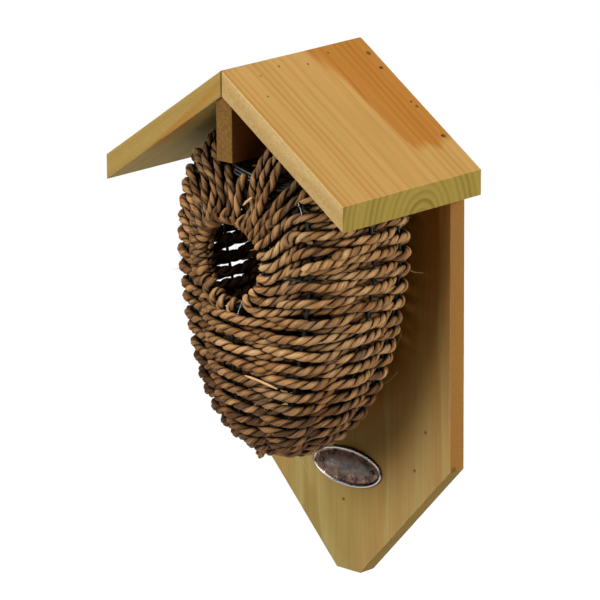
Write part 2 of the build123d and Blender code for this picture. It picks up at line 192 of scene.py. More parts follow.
def pineMaterial(name, wood):
    # Planed, pressure-treated pine: growth rings about a pith line along the grain, so faces show long
    # figure and ends show arcs. Pale early wood, soft darker late wood, a greenish cast, grey-green ends;
    # painted shade near other parts.
    material, add = newMaterial(name)
    coords = add("TexCoord")
    place = coords.outputs["Object"]
    turn = [math.radians(angle) for angle in wood["turn"]]
    local = add("Mapping", vector_type="TEXTURE", Location=[p * mm for p in wood["pith"]], Rotation=turn,
                Vector=place)
    bend = stretchedNoise(add, local, pine["bendCells"], 2.0)
    across = add("VectorMath.MULTIPLY", local, (0, 1, 1))
    radius = add("VectorMath.LENGTH", across)
    rings = add("Math.MULTIPLY", radius, 1 / (wood["ringWidth"] * mm))
    phase = add("Math.MULTIPLY_ADD", bend, pine["bend"], rings)
    ring = add("Math.FRACT", phase)
    late = add("ValToRGB", ring, stops=wood.get("profile", pine["profile"]))
    late.color_ramp.interpolation = "B_SPLINE"
    # ring strength differs from band to band
    strength = add("TexNoise", phase, 0.43, 1.0, noise_dimensions="1D")
    band = add("MapRange", strength, 0.35, 0.7, 0.2 * wood["contrast"], wood["contrast"])
    lateShare = add("Math.MULTIPLY", late, band)
    colour = add("Mix.RGBA", lateShare, wood.get("early", pine["sapwood"]),
                 wood.get("late", pine["latewood"]))
    # broad greenish cast, most of it near the pith where a reach is given
    blotch = stretchedNoise(add, local, pine["castCells"], 3.0)
    cast = add("MapRange", blotch, 0.4, 0.68, wood["green"] * 0.3, wood["green"])
    if "greenReach" in wood:
        near, far = wood["greenReach"]
        reach = add("MapRange", radius, near * mm, far * mm, 1.0, 0.3)
        cast = add("Math.MULTIPLY", cast, reach)
    colour = add("Mix.RGBA", cast, colour, pine["green"])
    if "line" in wood:
        start = add("ValToRGB", ring, stops=pine["ringStart"])
        colour = add("Mix.RGBA", start, colour, wood["line"])
    fibre = stretchedNoise(add, local, pine["fibreCells"], 2.0)
    streak = add("MapRange", fibre, 0.3, 0.7, 0.9, 1.08)
    colour = add("VectorMath.SCALE", colour, streak)
    # ends of the grain drink more of the treatment, other faces have a colour of their own; the beam's
    # darker sides are painted shade and the left board's paler underside is painted light
    spin = add("Mapping", vector_type="TEXTURE", Rotation=turn, Vector=coords.outputs["Normal"])
    speckle = add("TexNoise", place, 900.0, 2.0)  # sawn grit, 1.1 mm
    for axis, early, lateTone, most, speckled, least in wood["faces"]:
        facing = add("VectorMath.DOT_PRODUCT", spin, axis)
        if min(axis) == 0:  # a minus counts on its own side only
            facing = add("Math.ABSOLUTE", facing)
        share = add("MapRange", facing, least, least + 0.15, 0.0, most)
        own = add("Mix.RGBA", lateShare, early, lateTone)
        grit = add("MapRange", speckle, 0.3, 0.7, 1 - speckled, 1 + speckled)
        own = add("VectorMath.SCALE", own, grit)
        colour = add("Mix.RGBA", share, colour, own)
    if "stain" in wood:
        # resin stain on the far side of several planes (way, distance, softness), ragged along the grain
        broad, fine = wood["ragged"]
        offset = add("Math.MULTIPLY_ADD", blotch, broad, -0.5 * broad)
        ragged = add("Math.MULTIPLY_ADD", fibre, fine, offset)
        wet = add("MapRange", blotch, 0.38, 0.62, 0.7, 1.0)
        for way, edge, soft in wood["stain"]:
            depth = add("VectorMath.DOT_PRODUCT", local, way)
            depth = add("Math.ADD", depth, ragged)
            within = add("MapRange", depth, (edge - soft) * mm, (edge + soft) * mm)
            wet = add("Math.MULTIPLY", wet, within)
        resin = add("ValToRGB", wet, stops=wood["resin"])
        colour = add("Mix.RGBA", 1.0, colour, resin, blend_type="MULTIPLY")
    for spot, size in wood.get("spots", ()):
        away = add("VectorMath.DISTANCE", place, [p * mm for p in spot])
        dark = add("MapRange", away, 0.3 * size * mm, size * mm, 0.85, 0.0)
        colour = add("Mix.RGBA", dark, colour, pine["nailRust"])
    # painted shade: boards with a shade share turn darker and more orange where occlusion within 8 cm is
    # high, under the eave and beside the pouch
    if "shade" in wood:
        beside = add("AmbientOcclusion", samples=8, Distance=0.08)
        deep = add("MapRange", beside.outputs["AO"], 0.35, 0.9, wood["shade"], 0.0)
        colour = add("Mix.RGBA", deep, colour, pine["paintedShadeTint"], blend_type="MULTIPLY")
    relief = add("Math.MULTIPLY_ADD", fibre, 0.5, lateShare)
    bump = add("Bump", Strength=0.25, Distance=0.0002, Height=relief)
    finishMaterial(add, {"Base Color": colour, "Normal": bump, "Roughness": 0.62,
                         "Specular IOR Level": 0.15})
    return material


def boardMesh(outline, low, high, seed, hole=None):
    # A flat outline (x, z) carried through a thickness (y). Eased edges are rings of the outline moved in by
    # edge*(1 - sin) at a height of edge*(1 - cos), each edge point wobbles a little, and flat caps close
    # both sides. Half way, points beside the middle line lie on it, so both roof boards touch there. A blind
    # hole (middle, radius, depth) in the high side is a circle on the lines from its middle to the outline.
    draw = np.random.default_rng(seed)
    corners = np.asarray(outline, float)
    sides = np.roll(corners, -1, 0) - corners
    normals = unit(np.stack([sides[:, 1], -sides[:, 0]], -1))  # outward
    before = np.roll(normals, 1, 0)
    mitres = (normals + before) / (1 + (normals * before).sum(1))[:, None]
    points = []
    ways = []
    for corner, side, normal, mitre in zip(corners, sides, normals, mitres):
        steps = max(2, int(np.linalg.norm(side) / pine["edgeStep"]))
        share = np.arange(steps)[:, None] / steps
        points.append(corner + share * side)
        ways.append(np.where(share == 0, mitre, normal))
    points = np.vstack(points)
    ways = np.vstack(ways)
    count = len(points)
    bends = np.radians([0, 30, 60, 90])

    def ringAt(flat, level):
        return np.column_stack([flat, np.full(count, level)])

    def eased(bend, base, sign):
        wobble = draw.normal(0, pine["edgeWobble"], (count, 1)) if bend < bends[-1] else 0.0
        inset = np.clip((pine["edge"] + wobble) * (1 - math.sin(bend)), 0, None)
        return ringAt(points - ways * inset, base + sign * pine["edge"] * (1 - math.cos(bend)))

    touching = points.copy()
    touching[np.abs(points[:, 0]) < pine["touch"], 0] = 0.0
    rings = [eased(bend, low, 1) for bend in bends] + [ringAt(touching, (low + high) / 2)]
    rings += [eased(bend, high, -1) for bend in bends[::-1]]
    if hole:
        centre, radius, depth = hole
        circle = centre + radius * unit(rings[-1][:, :2] - centre)
        rings += [ringAt(circle, high), ringAt(circle, high - depth)]
    return np.vstack(rings)[:, [0, 2, 1]], closedGrid(len(rings), count)


rise = math.tan(math.radians(pine["slope"]))
backLow, backHigh = (np.array(corner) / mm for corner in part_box("backboard"))
beamLow, beamHigh = (np.array(corner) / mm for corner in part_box("ridge_beam"))
roofLow, roofHigh = (np.array(corner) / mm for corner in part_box("roof_board_right"))
thick = backHigh[1] - backLow[1]
plumb = thick / math.cos(math.radians(pine["slope"]))
roofNails = ((8.2, -53.0, 1.1), (20.8, -99.1, 1.0), (4.6, -32.4, 1.1), (5.6, -74.0, 1.1), (8.4, -91.7, 0.9),
             (10.4, -5, 2.2), (20.4, -5, 1.7), (47.1, -5, 1.6), (67.3, -5, 2.2))  # x, y, size of each mark
# faces: way in the grain's frame, early and late tone, share, speckle of a sawn face, least facing
woods = {
    "right": {
        "turn": (0, pine["slope"], 0), "pith": (0, -51, ridgeZ - 25), "ringWidth": 4.4,
        "green": 0.2, "contrast": 1.05,
        "spots": [((x, y, ridgeZ - x * rise), size) for x, y, size in roofNails],
        "stain": (((-0.305, 1, 0), 11.75, 5), ((-1, 0.29, 0), -52, 5)),
        "ragged": (0.05, 0.012),
        "resin": [(0.0, "#FFFFFF"), (0.5, "#EFCFA3"), (1.0, "#F0D0A2")],
        "faces": (((1, 0, 0), "#BCA349", "#7E6A28", 0.9, 0.06, 0.5),
                  ((0, 1, 0), "#DCBD80", "#C49F60", 0.85, 0.13, 0.5)),
    },
    "left": {
        "turn": (0, -pine["slope"], 0), "pith": (0, -40, ridgeZ - 60), "ringWidth": 4.2,
        "green": 0.28, "contrast": 0.7, "early": "#D6B068", "late": "#BC8C46",
        "stain": (((0.115, 0, -1), -42.2, 0.8), ((-0.115, 0, 1), 38.4, 1.8), ((0, -1, 0), 64, 4)),
        "ragged": (0.006, 0.001),
        "resin": [(0.0, "#FFFFFF"), (1.0, "#FFDDBE")],
        "faces": (((1, 0, 0), "#A48C34", "#7E6C30", 0.85, 0.06, 0.5),
                  ((0, 1, 0), "#A48843", "#907435", 0.6, 0.12, 0.5),
                  # paler underside: painted light where little light reaches under the roof
                  ((0, 0, -1), "#EACF7A", "#CCAF5A", 0.85, 0.04, 0.5)),
    },
    "back": {
        "turn": (0, -90, 0), "pith": (-20, 60, 0), "ringWidth": 14.0,
        "green": 0.75, "greenReach": (72, 90), "contrast": 1.0, "shade": 1.0,
        "early": "#C9A868", "late": "#BB8444", "line": "#BFAB68",
        "spots": [((-3.6, -thick, ridgeZ - 274.2), 1.5), ((60.3, -thick, ridgeZ - 220.7), 1.4),
                  ((51.9, -thick, ridgeZ - 245.3), 1.3), ((80.5, -thick + 3, ridgeZ - 240), 3.2)],
        "profile": [(0.0, 0.2), (0.2, 0.5), (0.6, 0.85), (0.93, 1.0), (1.0, 0.4)],
        "faces": (((1, 0, 0), "#987512", "#7C5E10", 0.95, 0.06, 0.5),
                  ((0, 0, 1), "#B47C36", "#A06829", 0.85, 0.14, 0.8)),
    },
    "beam": {
        "turn": (0, 0, 90), "pith": (14, 0, ridgeZ - 20), "ringWidth": 3.0,
        "green": 0.2, "contrast": 0.7, "shade": 1.0,
        # the second face darkens both sides: painted shade, the beam lying under the roof
        "faces": (((1, 0, 0), "#845F2C", "#6A4A20", 0.95, 0.3, 0.5),
                  ((0, 1, 0), "#9B7844", "#885A24", 0.95, 0.06, 0.5)),
    },
}


def peaked(low, high, corners):
    # outline of a board cut to the roof's slope at its top: peak, left eave, lower corners, right eave
    leftEave = (low[0], high[2] + low[0] * rise)
    rightEave = (high[0], high[2] - high[0] * rise)
    return [(0, high[2]), leftEave] + corners + [rightEave]


board = {
    "tipHalf": 9.3,                   # mm, half width of the blunt tip
    "sideCorner": ridgeZ - 241,       # level at which the lower edges start
    "hole": (np.zeros(2), 4.0, 8.0),  # hanging hole at the frame's origin: middle, radius, depth
}
roofRight = [(x, ridgeZ - drop - x * rise) for x, drop in ((pine["gap"], 0), (pine["gap"], plumb),
                                                           (roofHigh[0], plumb), (roofHigh[0], 0))]
roofLeft = [(-x, z) for x, z in roofRight[:1] + roofRight[:0:-1]]
backSide = peaked(backLow, backHigh, [(backLow[0], board["sideCorner"]), (-board["tipHalf"], backLow[2]),
                                      (board["tipHalf"], backLow[2]), (backHigh[0], board["sideCorner"])])
beamEnd = peaked(beamLow, beamHigh, [(beamLow[0], beamLow[2]), (beamHigh[0], beamLow[2])])
boards = (
    ("roofRight", roofRight, roofLow[1], 0.0, "right", "roof_board_right", None),
    ("roofLeft", roofLeft, roofLow[1], 0.0, "left", "roof_board_left", None),
    ("backBoard", backSide, -thick, 0.0, "back", "backboard", board["hole"]),
    ("ridgeBeam", beamEnd, beamLow[1], beamHigh[1], "beam", "ridge_beam", None),
)
for seed, (name, outline, low, high, wood, node, hole) in enumerate(boards):
    points, faces = boardMesh(outline, low, high, seed, hole)
    putMesh(name, points, faces, pineMaterial("pine_" + wood, woods[wood]), "pine", (node,), smooth=False)
print("boards made:", len(boards))


# Rope pouch: plain weave of a two-strand rope round upright wires

pouch = {
    "halfWidth": 73.6,
    "frontY": -113.6,
    "rearY": -12.4,
    "widestY": -61.0,
    "belly": ridgeZ - 115.0,
    "bottom": ridgeZ - 234.5,
    "crown": ridgeZ - 36.0,
    "depthShape": ((4.8, 1.9), (6, 6)),  # powers of the outline, below and above the belly
    "widthShape": ((1.25, 2.4), (2.5, 2.5)),
    "rearPower": 2 / 3,             # below 1, squarer than an ellipse
    "ribs": (0, 43.5, 86.5, 109.5, 140, 180, 220, 257, 288, 316.5),  # degrees, 0 in front, 90 on the right
    "hiddenCrossing": 200,          # one more change of side behind, so rows alternate
    "lift": 3.1,                    # mm, swing of the weave
    "liftFade": (6, 20),            # mm from the middle of the bottom: start and reach
    "leastLift": 0.15,
    "halfRope": 2.7,
    "pitches": ((ridgeZ - 234, 4.7), (ridgeZ - 170, 4.3), (ridgeZ - 150, 4.4), (ridgeZ - 134, 5.0),
                (ridgeZ - 50, 4.95)),  # level, spacing of the rows
    "ringZ": ridgeZ - 110.3,        # entrance wire
    "ringRadius": 26.4,
    "firstRow": ridgeZ - 144.0,     # uppermost full row in front
    "topRow": ridgeZ - 58.5,
    "bodySplit": 0.62,              # share of the body's turns in its lower piece
    "wander": (0.6, 70),            # mm and degrees of the rows' wander up and down
    "wanderShift": 131,             # degrees from row to row
    "wanderSeed": 5,
    "tilt": 5.0,                    # mm, rise of the rows on the left of the front
    "tiltShare": ((-88, -47, 45), (0.0, 1.0, 0.0)),  # degrees, share of that rise
    "tiltFade": (10, 70),           # mm from the middle of the bottom: start and reach
    "slant": ((-88, -47, 0, 30, 58, 118), (0.0, 2.5, 0.4, -3.6, -5.4, 0.0)),  # degrees, mm under the wire
    "slantFade": (10, 45),
    "slantTop": (ridgeZ - 126, -24),  # level, reach
    "rearWindow": (255, 36),        # degrees, middle and half width of the wall seen through the entrance
    "rearLower": ((-4, 0, 2, 4, 6, 9, 12), (0, -2.5, -4.5, -5.9, -4.9, -2.5, 0)),  # row, mm
    "rearSpread": ((-2, -1, 4, 5, 7, 9), (0.0, 0.9, 0.8, -0.2, -1.2, -1.7)),  # row, mm with the weave
    "rearClimb": 0.075,             # mm to a degree
}
rope = {
    "lay": 14.6,                    # mm, one turn of the strands
    "offset": 1.27,                 # mm, middle of a strand from the rope's
    "radial": 1.4,                  # mm, half sizes of a strand's oval
    "tangential": 1.95,
    "sides": 9,
    "step": 1.15,                   # mm between rings
    "wander": (0.32, 24),           # size and wavelength of each drift along the rope
    "layDrift": (0.8, 55),
    "swell": (0.12, 18),
    "offsetDrift": (0.05, 30),
    "foldDepth": 0.07,
    "foldTurn": 31,                 # mm
    "ridges": (0.075, 9),
    "toneDrift": (0.22, 90),
    "toneSpread": 0.10,
    "inner": 0.85,                  # oval flattened towards the rope's middle
    "bulge": 0.3,                   # mm, of a strand's end
    "grooveShade": 0.3,                  # painted shade where the strands meet
    "leftShade": (0.28, -2, -25),   # painted shade on the left flank: share, start and reach
    "lowShade": (0.36, ridgeZ - 162, -50),  # painted shade near the bottom
}
axisY = (pouch["frontY"] + pouch["rearY"]) / 2
halfDepth = (pouch["rearY"] - pouch["frontY"]) / 2


def meridianTable():
    # Length, half depth, half width and level along the front line of the pouch. With t the share of the way
    # from the belly to the bottom or the crown, depth and width are (1 - t^a)^(1/b) of their largest.
    t = 1 - (1 - np.linspace(0, 1, 3000)) ** 2.5  # closer together towards the ends

    def joinedHalves(below, above):
        return np.concatenate([below[::-1], above[1:]])

    depth, width = (size * joinedHalves(*((1 - t ** a) ** (1 / b) for a, b in shape)) for size, shape in
                    ((halfDepth, pouch["depthShape"]), (pouch["halfWidth"], pouch["widthShape"])))
    ways = (pouch[end] - pouch["belly"] for end in ("bottom", "crown"))
    level = pouch["belly"] + joinedHalves(*(t * way for way in ways))
    length = np.concatenate([[0], np.cumsum(np.hypot(np.diff(depth), np.diff(level)))])
    return length, depth, width, level


lengths, depths, widths, levels = meridianTable()
# rows counted along the front line: the sum of length over the local spacing
spacing = np.interp(levels, *zip(*pouch["pitches"]))
rowCounts = np.concatenate([[0], np.cumsum(np.diff(lengths) / spacing[1:])])


def lengthAtRow(count):
    # length along the front line at a count of rows
    return np.interp(count, rowCounts, lengths)


def lengthAtLevel(z):
    # and at a level
    return np.interp(z, levels, lengths)


def rowAtLevel(z):
    # count of rows at a level
    return float(np.interp(lengthAtLevel(z), lengths, rowCounts))


def skin(s, phi):
    # Outer skin at length s and angle phi (radians): half an ellipse in front, a squarer curve behind
    depth = np.interp(s, lengths, depths)
    widest = axisY + (pouch["widestY"] - axisY) * depth / halfDepth
    forward = np.cos(phi)
    aside = np.sin(phi)
    front = forward >= 0
    square = np.sign(aside) * np.abs(aside) ** pouch["rearPower"]
    x = np.interp(s, lengths, widths) * np.where(front, aside, square)
    rear = widest + (axisY + depth - widest) * np.abs(forward) ** pouch["rearPower"]
    y = np.where(front, widest - (widest - axisY + depth) * forward, rear)
    return np.stack([x, y, np.interp(s, lengths, levels)], -1)


def skinNormal(s, phi):
    # outward normal from small steps along and round the skin
    along = skin(s + 0.8, phi) - skin(s - 0.8, phi)
    around = skin(s, phi + 0.006) - skin(s, phi - 0.006)
    return unit(np.cross(around, along))


def phiAtSide(s, x):
    # angle of a point on the front at a distance x to the side
    return np.arcsin(np.clip(x / np.interp(s, lengths, widths), -0.999, 0.999))


def middle(s, phi, lift):
    # A line on the wires' surface, inside the skin by the rope and its swing, moved out again by a share of
    # the swing, which fades towards the bottom. Gives the points and the skin's normals.
    normal = skinNormal(s, phi)
    swing = pouch["lift"] * np.maximum(fading(s, *pouch["liftFade"]), pouch["leastLift"])
    return skin(s, phi) + normal * (swing * (np.asarray(lift) - 1) - pouch["halfRope"])[..., None], normal


def weave(phi, row):
    # swing of a row: out at every second wire, in at the others, the rows taking turns
    crossings = np.array(sorted(pouch["ribs"] + (pouch["hiddenCrossing"], 360)))
    turns, rest = np.divmod(np.degrees(phi), 360)
    count = np.interp(rest, crossings, np.arange(len(crossings))) + turns * (len(crossings) - 1)
    return np.cos(math.pi * (count + row))


def chained(stretches):
    # several stretches of points and normals as one
    return np.vstack([line for line, _ in stretches]), np.vstack([normals for _, normals in stretches])


def evenPath(points, normals, step):
    # the same path at even steps of length
    length = np.concatenate([[0], np.cumsum(np.linalg.norm(np.diff(points, axis=0), axis=1))])
    at = np.linspace(0, length[-1], max(4, int(length[-1] / step)))
    line, ways = (np.stack([np.interp(at, length, column) for column in values.T], -1)
                  for values in (points, normals))
    return line, unit(ways), at


def smoothNoise(at, drift, draw):
    # size times the sum of four sines of random phase about a wavelength
    size, wave = drift
    waves = wave * draw.uniform(0.6, 1.8, 4)
    return size * sum(np.sin(math.tau * at / w + draw.uniform(0, 6.28)) for w in waves) / 2.0


def twistRope(points, normals, draw, size, tone):
    # Two strands on a helix about the path, half a turn apart. A strand's section is an oval, flatter
    # towards the rope's middle, with three blunt folds; its size, its folds and each side's swell drift
    # along the length. Gives for each strand its points, quads, end triangles, UV and tint: a drifting tone
    # less painted shade on the left flank, near the bottom and in the grooves where the strands meet.
    points, normals, at = evenPath(points, normals, rope["step"])
    tangent = unit(np.gradient(points, axis=0))
    normals = unit(normals - tangent * (normals * tangent).sum(1, keepdims=True))
    up = np.cross(normals, tangent)
    points = points + smoothNoise(at, rope["wander"], draw)[:, None] * up
    sides = rope["sides"]
    count = len(points)
    index = np.arange(sides)
    around = index / sides * math.tau
    fromEnd = np.minimum(np.arange(count), np.arange(count)[::-1])
    taper = np.clip(fromEnd / 1.5 + 0.75, 0, 1)[:, None]
    inner = np.where(np.cos(around) < 0, rope["inner"], 1.0)
    lay = math.tau * at / rope["lay"] + smoothNoise(at, rope["layDrift"], draw) + draw.uniform(0, 6.28)
    strands = []
    for strand in range(2):
        turn = (lay + strand * math.pi)[:, None]
        arm = np.cos(turn) * normals + np.sin(turn) * up
        swell = size * (1 + smoothNoise(at, rope["swell"], draw)[:, None])
        drift = smoothNoise(at, rope["offsetDrift"], draw)[:, None]
        centre = points + arm * rope["offset"] * size * (1 + drift)
        way = unit(np.gradient(centre, axis=0))
        arm = unit(arm - way * (arm * way).sum(1, keepdims=True))
        over = np.cross(way, arm)
        foldTurn = math.tau * at[:, None] / rope["foldTurn"] + draw.uniform(0, 6.28)
        folds = 1 + rope["foldDepth"] * np.cos(3 * around + foldTurn)
        ridges = 1 + np.stack([smoothNoise(at, rope["ridges"], draw) for _ in range(sides)], -1)
        shape = swell * folds * ridges * taper
        radial = (rope["radial"] * shape * inner * np.cos(around))[..., None]
        tangential = (rope["tangential"] * shape * np.sin(around))[..., None]
        rings = centre[:, None] + radial * arm[:, None] + tangential * over[:, None]
        caps = np.stack([centre[0] - way[0] * rope["bulge"], centre[-1] + way[-1] * rope["bulge"]])
        cap = count * sides
        last = cap - sides
        there = (index + 1) % sides
        ends = np.vstack([np.stack([np.full(sides, cap), there, index], -1),
                          np.stack([np.full(sides, cap + 1), last + index, last + there], -1)])
        u = np.stack([index, index + 1, index + 1, index], -1) / sides
        v = np.stack([at[:-1], at[:-1], at[1:], at[1:]], -1) / 10 + 40 * draw.random()  # 10 mm to a unit
        quadUv = np.stack(np.broadcast_arrays(u[None], v[:, None]), -1).reshape(-1, 2)
        shade = tone + smoothNoise(at, rope["toneDrift"], draw) + draw.normal(0, rope["toneSpread"])
        shade = np.clip(shade, 0, 1)
        # painted shade: darker on the left flank and towards the bottom, then in the grooves where the
        # strands meet
        for axis, (share, *fade) in ((0, rope["leftShade"]), (2, rope["lowShade"])):
            shade = shade - share * fading(points[:, axis], *fade)
        shade = shade[:, None] - rope["grooveShade"] * np.sin(around) ** 4
        strands.append({"points": np.vstack([rings.reshape(-1, 3), caps]), "quads": gridFaces(count, sides),
                        "ends": ends, "uv": np.vstack([quadUv, np.zeros((len(ends) * 3, 2))]),
                        "tint": np.concatenate([shade.ravel(), [1.0, 1.0]])})
    return strands


def ropePiece(name, paths, nodes, seed, size=1.0, tone=0.5):
    # all ropes of one piece in one mesh
    draw = np.random.default_rng(seed)
    strands = []
    for line, normals in paths:
        strands += twistRope(line, normals, draw, size, tone)
    faces = []
    start = 0
    for strand in strands:
        faces += (strand["quads"] + start).tolist() + (strand["ends"] + start).tolist()
        start += len(strand["points"])
    points = np.vstack([strand["points"] for strand in strands])
    uv = np.vstack([strand["uv"] for strand in strands])
    tint = np.concatenate([strand["tint"] for strand in strands])
    putMesh(name, points, faces, sedge, "rope", nodes, uv=uv, tint=tint)


def ropeMaterial():
    # Sedge rope: dried leaf twisted into strands. Long fibres along each strand, dull sheen, colour drifting
    # from grey-brown to orange-brown along it, and painted shade in the recesses and inside the pouch.
    material, add = newMaterial("sedgeRope")
    tint = add("Attribute", attribute_name="tint")
    uv = add("UVMap", uv_map="UVMap")
    fibre = stretchedNoise(add, uv, (13, 1.1, 1), 3.0, 0.6)  # fibres 0.8 mm wide and 9 mm long
    coarse = stretchedNoise(add, uv, (7, 0.9, 1), 2.0)       # and 1.5 mm by 11
    tone = add("Math.MULTIPLY_ADD", fibre, 1.7, tint.outputs["Fac"])
    tone = add("Math.MULTIPLY_ADD", coarse, 0.8, tone)
    share = add("MapRange", tone, 1.08, 2.12)
    leaf = [(0.0, "#5A3C20"), (0.3, "#956C42"), (0.55, "#BE8A54"), (0.78, "#D8A66C"), (1.0, "#EFC38A")]
    colour = add("ValToRGB", share, stops=leaf)
    place = add("TexCoord").outputs["Object"]
    patch = add("TexNoise", place, 45.0, 2.0)  # patches of 22 mm
    for low, high, most, code in ((0.5, 0.72, 0.4, "#9A5F30"), (0.48, 0.28, 0.3, "#A98F70")):  # warm, grey
        part = add("MapRange", patch, low, high, 0.0, most)
        colour = add("Mix.RGBA", part, colour, code)
    # painted shade between the strands and in the dark inside of the pouch, by occlusion within 8 mm and 10
    # cm
    for reach, low, high, least in ((0.008, 0.25, 0.84, 0.1), (0.1, 0.05, 0.48, 0.12)):
        beside = add("AmbientOcclusion", samples=8, Distance=reach)
        paintedShadeScale = add("MapRange", beside.outputs["AO"], low, high, least, 1.0)
        colour = add("VectorMath.SCALE", colour, paintedShadeScale)
    relief = add("Math.MULTIPLY_ADD", coarse, 0.6, fibre)
    bump = add("Bump", Strength=0.8, Distance=0.0007, Height=relief)
    finishMaterial(add, {"Base Color": colour, "Normal": bump, "Roughness": 0.62,
                         "Specular IOR Level": 0.22})
    return material


sedge = ropeMaterial()
firstCount = rowAtLevel(pouch["firstRow"])
bodyTurns = int(firstCount - 1.2)  # the spiral starts a little over a row from the middle of the bottom


def wander(phi, row):
    # slow wander of a row up and down
    draw = np.random.default_rng(pouch["wanderSeed"])
    return smoothNoise(np.degrees(phi) + pouch["wanderShift"] * row, pouch["wander"], draw)


def leftRear(phi, row):
    # Rows of the left rear wall, seen through the entrance: they lie lower there and climb backwards, and
    # the gaps over the inner rows stand open up to the height of the entrance's top
    centre, reach = pouch["rearWindow"]
    degrees = np.degrees(phi) % 360
    window = np.clip(1 - ((degrees - centre) / reach) ** 2, 0, 1) ** 2
    lower = np.interp(row, *pouch["rearLower"])
    spread = np.interp(row, *pouch["rearSpread"]) * weave(phi, row)
    return window * (lower + spread + pouch["rearClimb"] * (centre - degrees))


def frontTilt(s, phi):
    # Rows hang lower right of the front than left of it: a rise that fades towards the bottom, and under the
    # entrance a slant, each a share of its table by the angle
    degrees = (np.degrees(phi) + 180) % 360 - 180
    share = np.interp(degrees, *pouch["tiltShare"]) * fading(s, *pouch["tiltFade"])
    top, reach = pouch["slantTop"]
    under = fading(s, lengthAtLevel(top), reach) * fading(s, *pouch["slantFade"])
    return pouch["tilt"] * share + np.interp(degrees, *pouch["slant"]) * under


# Body: one spiral from the middle of the bottom up to the first full row, ending under the entrance
bodyPhi = np.arange(0, bodyTurns * 360 + 366, 0.5) * math.pi / 180  # one turn more, and 6 degrees
bodyLength = lengthAtRow(firstCount - bodyTurns + bodyPhi / math.tau)
bodyRow = np.floor(bodyPhi / math.tau) - bodyTurns
bodyLength = bodyLength + wander(bodyPhi, 0) * fading(bodyLength, 0, 30)
bodyLength = bodyLength + leftRear(bodyPhi % math.tau, bodyRow)
bodyLength = bodyLength + frontTilt(bodyLength, bodyPhi)
bodyLine, bodyNormals = middle(bodyLength, bodyPhi, weave(bodyPhi, 0))
lowTurns = int(bodyTurns * pouch["bodySplit"])
half = np.searchsorted(bodyPhi, math.pi * (2 * lowTurns + 1))  # cut behind, out of sight
ropePiece("bodyRopeLow", [(bodyLine[:half + 1], bodyNormals[:half + 1])], ("body_rope",), 21)
ropePiece("bodyRopeHigh", [(bodyLine[half:], bodyNormals[half:])], ("body_rope",), 22)
print("body rope:", bodyTurns, "turns")


def ringPoint(theta, radius):
    # length and angle on the skin of a point of the entrance circle
    s = lengthAtLevel(pouch["ringZ"] + radius * np.sin(theta))
    return s, phiAtSide(s, radius * np.cos(theta))


def hermite(start, startWay, end, endWay, t):
    # cubic from start to end with its ways at both ends
    return ((2 * t ** 3 - 3 * t ** 2 + 1) * start + (t ** 3 - 2 * t ** 2 + t) * startWay
            + (-2 * t ** 3 + 3 * t ** 2) * end + (t ** 3 - t ** 2) * endWay)


def hook(theta, side, turns):
    # A rope's bend round the entrance wire: an arc of the swing about the wire, from a way out (side 1) or
    # in (side -1) towards the middle of the entrance
    places, normals = middle(*ringPoint(theta, pouch["ringRadius"] + np.array([0.0, 1.0])), np.zeros(2))
    radial = unit(places[1:] - places[:1])
    face = np.cos(turns)[:, None] * normals[:1] - side * np.sin(turns)[:, None] * radial
    return places[:1] + side * pouch["lift"] * face, face


firstRib = math.radians(pouch["ribs"][1])
lastRib = math.radians(pouch["ribs"][-1])
rim = {
    "pairs": 7,          # pairs of rows that share a place on the entrance wire
    "pull": 0.9,         # how far a row keeps the way it leaves the rim
    "mostGain": 60,
    "leastTurn": 0.006,  # radians
    # degrees of the lowest pair and step to the next; outer rope of the fan as (x, drop)
    "right": {"theta": (-58.0, 14.5), "fanEdge": ((50.0, 86), (64.0, 62))},
    "left": {"theta": (214.0, -11.2), "fanEdge": ((-19.0, 84), (-36.0, 56))},
}


def rowEnd(row, right, theta, edge):
    # Row from the entrance wire to the first wire beside it: a cubic that leaves the entrance square
    # to its rim and turns level, as lengths and angles
    t = np.linspace(0, 1, 60)
    s0, phi0 = ringPoint(theta, pouch["ringRadius"])
    s1, phi1 = ringPoint(theta, pouch["ringRadius"] + 0.5)
    edgeLength = lengthAtRow(firstCount + row + edge / math.tau) + wander(np.array([edge]), row)[0]
    edgeLength = edgeLength + frontTilt(edgeLength, edge)
    target = edge if right else edge - math.tau
    reach = abs(target - phi0)
    gain = rim["pull"] * min(reach / max(abs(phi1 - phi0), rim["leastTurn"]), rim["mostGain"])
    s = hermite(s0, gain * (s1 - s0), edgeLength, 0.0, t)
    phi = hermite(phi0, gain * (phi1 - phi0), target, rim["pull"] * (reach if right else -reach), t)
    return s, phi


def rimEnd(row, right):
    # the end of a row that hooks round the entrance wire; two rows share a place on the rim
    low, step = rim["right" if right else "left"]["theta"]
    theta = math.radians(low + step * ((row - 1) // 2))
    way = math.copysign(1, weave(np.array([0.0 if right else math.tau - 1e-6]), row)[0])
    s, phi = rowEnd(row, right, theta, firstRib if right else lastRib)
    swing = way * np.cos(math.pi * np.linspace(0, 1, len(s)))  # from one side at the rim to the other
    line, normals = middle(s, phi, swing)
    return chained([hook(theta, way, np.linspace(math.pi / 2, 0, 12)[:-1]), (line[1:-1], normals[1:-1])])


def fanEnd(row, right, lastLength):
    # the end of a row above the entrance, which starts behind the outer rope of the fan
    (x0, drop0), (x1, drop1) = rim["right" if right else "left"]["fanEdge"]
    drop = ridgeZ - np.interp(lengthAtRow(firstCount + row + 0.5), lengths, levels)
    s = np.linspace(lengthAtRow(firstCount + row + 0.25), lastLength, 40)
    start = phiAtSide(s[0], x0 + (drop - drop0) / (drop1 - drop0) * (x1 - x0))
    phi = np.linspace(start, firstRib if right else lastRib - math.tau, len(s))
    swing = np.linspace(-1.0, weave(np.array([firstRib if right else lastRib]), row)[0], len(s))
    return middle(s[:-1], phi[:-1], swing[:-1])


